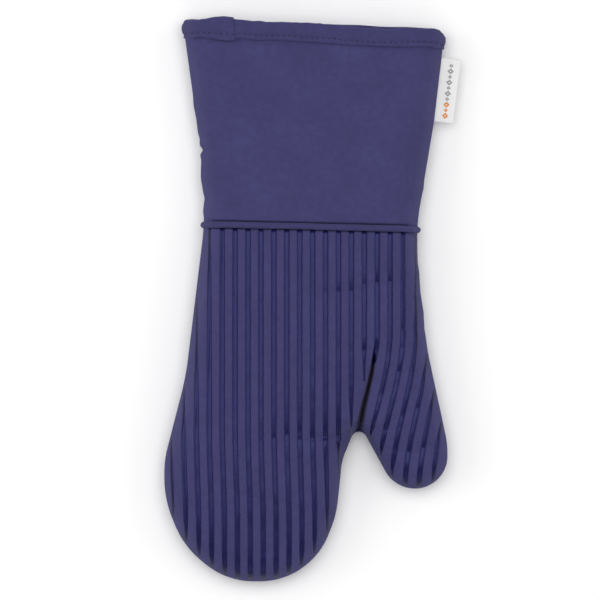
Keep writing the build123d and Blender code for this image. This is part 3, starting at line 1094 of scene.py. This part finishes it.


def twill(name, colour, pitch, turn):
    """Woven cotton twill: diagonal ribs crossed by finer yarns, uneven in colour, with a little fuzz."""
    n = Nodes(name)
    rib = n.yarns(n.cloth(1 / pitch, turn))
    yarn = n.yarns(n.cloth(1.9 / pitch, turn + 63), "Y")
    weave = n.mix((rib, 0.65), (yarn, 0.35))
    slow = n.noise(n.cloth(1), scale=0.035, detail=4)
    slub = n.noise(n.cloth(1), scale=0.9, detail=2)
    patch = n.noise(n.cloth(1), scale=0.22, detail=4, roughness=0.65)
    fuzz = n.noise(n.place(1), scale=3.5, detail=2)
    wrinkle = n.noise(n.cloth(1), scale=0.16)
    shade = n.mix((weave, 0.45), (slow, 0.35), (slub, 0.2), (n.math("SUBTRACT", patch, 0.5), 0.35))
    dyed = n.shades(shade, colour, (0.25, 0.7), (0.75, 1.3))
    # Painted shade: where the crease's bottom is marked, the cloth's colour goes to nearly black in place
    # of its shadow.
    crease_shade_mask = n.add("ShaderNodeAttribute", {}, attribute_name="painted_crease_shade").outputs["Fac"]
    crease_shade_mix = {"Factor": crease_shade_mask, "A": dyed, "B": (*PAINTED_CREASE_SHADE_COLOUR, 1)}
    nap = n.bump(n.mix((weave, 1), (fuzz, 0.5)), strength=0.8, distance=0.22)
    return n.shaded(
        Base_Color=n.add("ShaderNodeMix", crease_shade_mix, data_type="RGBA").outputs["Result"],
        Normal=n.bump(wrinkle, strength=0.5, distance=0.6, onto=nap),
        Roughness=n.above(0.8, fuzz, 0.12),
        Specular_IOR_Level=0.12, Sheen_Weight=0.15, Sheen_Roughness=0.5, Sheen_Tint=(0.5, 0.48, 0.8, 1),
    )


def silicone(name, colour):
    """Printed silicone: smooth and glossy, with slight unevenness in height and polish."""
    n = Nodes(name)
    slow = n.noise(n.place(1), scale=0.05)
    fine = n.noise(n.place(1), scale=0.7)
    return n.shaded(
        Base_Color=n.shades(slow, colour, (0.3, 0.86), (0.7, 1.14)),
        Normal=n.bump(fine, strength=0.25, distance=0.25),
        Roughness=n.above(0.23, fine, 0.12),
        Specular_IOR_Level=0.92, IOR=1.38, Specular_Tint=(0.38, 0.39, 1, 1),
    )


def fibres(name, colour, size, depth):
    """Matted or brushed fibres, as in wadding and lining."""
    n = Nodes(name)
    tuft = n.noise(n.place(1), scale=1 / size, detail=5, roughness=0.7)
    slow = n.noise(n.place(1), scale=0.06, detail=2)
    shade = n.mix((tuft, 0.65), (slow, 0.35))
    return n.shaded(
        Base_Color=n.shades(shade, colour, (0.3, 0.88), (0.7, 1.12)),
        Normal=n.bump(tuft, strength=0.8, distance=depth),
        Roughness=n.above(0.91, tuft, 0.08),
        Specular_IOR_Level=0.1, Sheen_Weight=0.2, Sheen_Roughness=0.6,
    )


def twisted(name, colour, pitch):
    """Twisted thread or cord. Thread is too fine for its strands to show."""
    n = Nodes(name)
    if pitch > 1:
        strand = n.yarns(n.cloth(1 / pitch, 38))
    else:
        strand = n.noise(n.place(1), scale=1 / pitch, detail=2)
    return n.shaded(
        Base_Color=n.shades(strand, colour, (0.2, 0.75), (0.8, 1.2)),
        Normal=n.bump(strand, strength=0.5, distance=0.12),
        Roughness=n.above(0.5, strand, 0.15),
        Specular_IOR_Level=0.3, Sheen_Weight=0.15,
    )


def ribbon(name, colour):
    """Woven satin ribbon: fine yarns along it, crossed by finer ones."""
    n = Nodes(name)
    warp_yarn = n.yarns(n.cloth(2.4))
    weft_yarn = n.yarns(n.cloth(3.1), "Y")
    weave = n.mix((warp_yarn, 0.6), (weft_yarn, 0.4))
    slow = n.noise(n.cloth(1), scale=0.15, detail=2)
    shade = n.mix((weave, 0.6), (slow, 0.4))
    return n.shaded(
        Base_Color=n.shades(shade, colour, (0.2, 0.95), (0.8, 1.025)),
        Normal=n.bump(weave, strength=0.35, distance=0.06),
        Roughness=n.above(0.5, weave, 0.15),
        Specular_IOR_Level=0.3, Sheen_Weight=0.1,
    )


NAVY = (0.0538, 0.0501, 0.1490)
MATERIALS = {
    "cloth": twill("navy_twill", NAVY, 0.9, 58),
    "piping": twill("navy_piping_cloth", tint(NAVY, 0.92), 0.9, 35),
    "binding": twill("navy_binding_cloth", tint(NAVY, 0.97), 0.8, 45),
    "silicone": silicone("navy_silicone", (0.0035, 0.0027, 0.0360)),
    "batting": fibres("white_wadding", (0.86, 0.85, 0.82), 2.2, 0.8),
    "lining": fibres("grey_brushed_lining", (0.42, 0.42, 0.45), 0.9, 0.4),
    "core": twisted("cotton_core", (0.8, 0.78, 0.72), 1.6),
    "thread": twisted("navy_thread", (0.014, 0.013, 0.045), 0.35),
    "label": ribbon("white_ribbon", (0.82, 0.82, 0.815)),
    "motif_grey": ribbon("grey_woven_motif", (0.34, 0.34, 0.35)),
    "motif_accent": ribbon("orange_woven_motif", (0.80, 0.27, 0.04)),
}


def floor_material():
    n = Nodes("pale_floor")
    slow = n.noise(n.place(1), scale=0.004, detail=2)
    white = n.shades(slow, (1, 1, 1), (0.3, 0.96), (0.7, 0.98))
    return n.shaded(Base_Color=white, Specular_IOR_Level=0, Roughness=1)


# ---- camera, floor and light
CAMERA_HEIGHT = 8.0
CAMERA_AT = (-7.8 * MM, -0.33 * MM)
VIEW_WIDTH = 390.8 * MM  # what the frame takes in at the height of the seam
SENSOR = 36.0
FLOOR_HALF = 20000
WORLD_STRENGTH = 0.47
SOFTBOXES = (  # name, place, size, power, and the place it points at
    ("left_softbox", (-3.0, 0.4, 1.7), (3.0, 2.2), 34, (0, 0, 0)),
    ("right_softbox", (3.0, 0.2, 1.7), (3.0, 2.2), 18, (0, 0, 0)),
    ("front_softbox", (0.1, -2.8, 1.5), (3.0, 2.0), 8, (0, 0, 0)),
    ("top_softbox", (0.0, 0.88, 3.35), (3.6, 2.78), 66, (0, 0.82, 0)),
)


def add_camera():
    data = bpy.data.cameras.new("camera")
    obj = in_scene("camera", data)
    obj.location = (*CAMERA_AT, CAMERA_HEIGHT)
    data.sensor_width = SENSOR
    data.lens = SENSOR * (CAMERA_HEIGHT - SEAM_Z * MM) / VIEW_WIDTH
    data.clip_end = 100
    bpy.context.scene.camera = obj


def add_floor():
    sides = (-FLOOR_HALF, FLOOR_HALF)
    corners = [(x, y, 0) for y in sides for x in sides]
    floor = new_object("floor", corners, [(0, 1, 3, 2)], smooth_shade=False)
    floor.data.materials.append(floor_material())
    floor.visible_glossy = False  # else the ends of the glossy stripes mirror it and turn white


def add_softbox(name, location, size, power, aim):
    data = bpy.data.lights.new(name, "AREA")
    data.shape = "RECTANGLE"
    data.size, data.size_y = size
    data.energy = power
    obj = in_scene(name, data)
    obj.location = location
    obj.rotation_euler = (Vector(aim) - Vector(location)).to_track_quat("-Z", "Y").to_euler()
    obj.visible_camera = False


def add_light():
    world = bpy.data.worlds.new("studio")
    bpy.context.scene.world = world
    world.use_nodes = True
    background = world.node_tree.nodes["Background"]
    background.inputs["Color"].default_value = (1, 1, 1, 1)
    background.inputs["Strength"].default_value = WORLD_STRENGTH
    for softbox in SOFTBOXES:
        add_softbox(*softbox)
    bpy.context.scene.view_settings.view_transform = "Standard"


add_camera()
add_floor()
add_light()
add_wall()
add_stripes()
add_piping()
add_binding()
add_seam_thread()
add_label()
